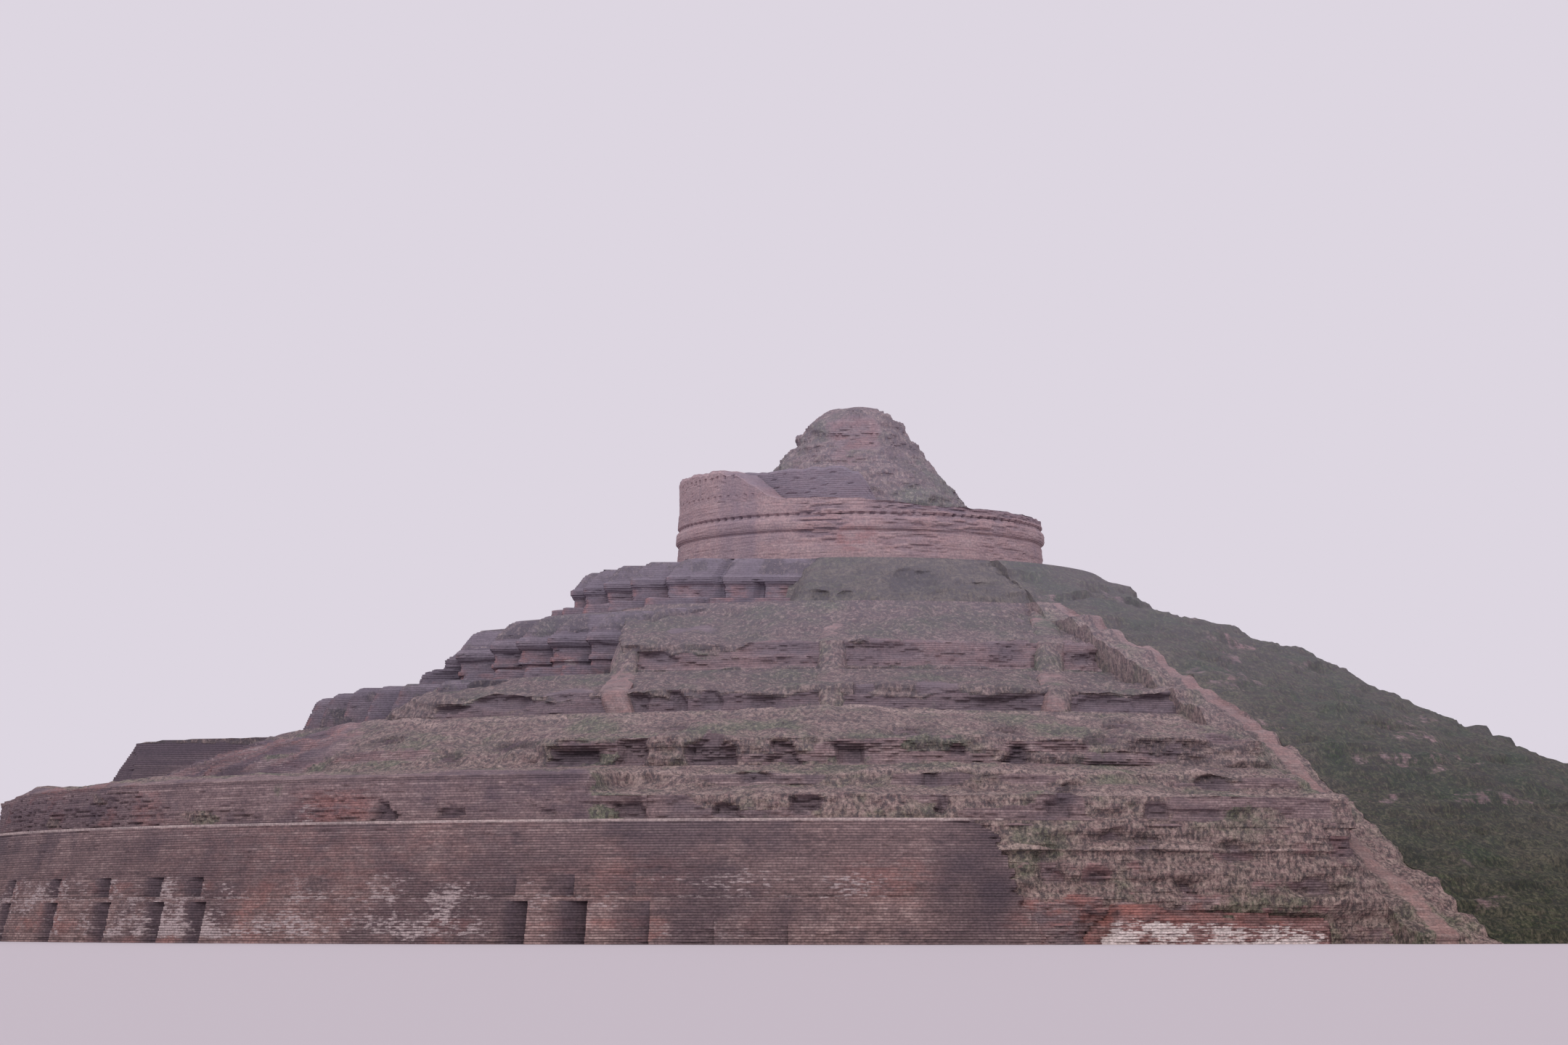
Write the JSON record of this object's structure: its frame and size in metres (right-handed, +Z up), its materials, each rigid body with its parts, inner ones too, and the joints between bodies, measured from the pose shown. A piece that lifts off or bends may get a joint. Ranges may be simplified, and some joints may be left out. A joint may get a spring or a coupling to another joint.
{
  "type": "one-to-ten scale model of a terraced brick stupa",
  "caption": "Round terraced brick stupa, half dug out of its mound, with a battered base wall, stepped terraces, a moulded drum and a ruined summit.",
  "frame": {"origin": "on the ground at the axis of the drum", "axes": "+Z up, -Y towards the front with the trenches and niches, +X towards the grassed slope on the right"},
  "size_m": [11.3981, 10.7946, 3.15],
  "materials": {
    "base_brick": "matt weathered brick courses with salt bloom at the foot",
    "salted_brick": "matt brick under white salt, broken red along the top",
    "pale_coping": "matt pale lime course",
    "weathered_brick": "matt ruined brick courses",
    "dark_brick": "matt brick blackened by old lichen",
    "drum_brick": "matt pinkish brick with dark run marks",
    "rubble_turf": "matt brick rubble and dry earth under thin turf",
    "green_turf": "matt earth under turf",
    "dry_earth": "matt dry trodden earth and brick crumbs",
    "core_brick": "matt brick hearting"
  },
  "bodies": {
    "root": {"base_coping_front": "pale_coping", "base_coping_left": "pale_coping", "base_core": "core_brick", "base_wall_back": "base_brick", "base_wall_back_left": "base_brick", "base_wall_front": "base_brick", "base_wall_front_left": "base_brick", "base_wall_left_back": "base_brick", "base_wall_left_front": "base_brick", "drum_core": "dark_brick", "drum_inner_wall": "dark_brick", "drum_lower_wall": "drum_brick", "drum_moulding": "drum_brick", "drum_standing_skin": "drum_brick", "drum_upper_course": "drum_brick", "earth_baulk_left": "dry_earth", "earth_baulk_middle": "dry_earth", "earth_baulk_path": "dry_earth", "earth_baulk_right": "dry_earth", "fifth_core": "core_brick", "fifth_terrace_back": "dark_brick", "fifth_terrace_front": "green_turf", "fifth_terrace_left": "dark_brick", "fourth_core": "core_brick", "fourth_terrace_back": "dark_brick", "fourth_terrace_left": "dark_brick", "fourth_trench_left": "rubble_turf", "fourth_trench_middle": "rubble_turf", "fourth_trench_right": "rubble_turf", "lower_core": "core_brick", "lower_terrace_back": "weathered_brick", "lower_terrace_front": "rubble_turf", "lower_terrace_front_left": "weathered_brick", "lower_terrace_left": "weathered_brick", "mound_slope_back": "green_turf", "mound_slope_front": "green_turf", "mound_slope_right": "green_turf", "rubble_bank_front": "rubble_turf", "salted_low_wall": "salted_brick", "second_core": "core_brick", "second_terrace_back": "weathered_brick", "second_terrace_front": "rubble_turf", "second_terrace_front_left": "weathered_brick", "second_terrace_left": "weathered_brick", "summit_stump": "rubble_turf", "third_core": "core_brick", "third_terrace_back": "dark_brick", "third_terrace_left": "dark_brick", "third_trench_far_left": "rubble_turf", "third_trench_left": "rubble_turf", "third_trench_middle": "rubble_turf", "third_trench_right": "rubble_turf"}
  },
  "joints": []
}
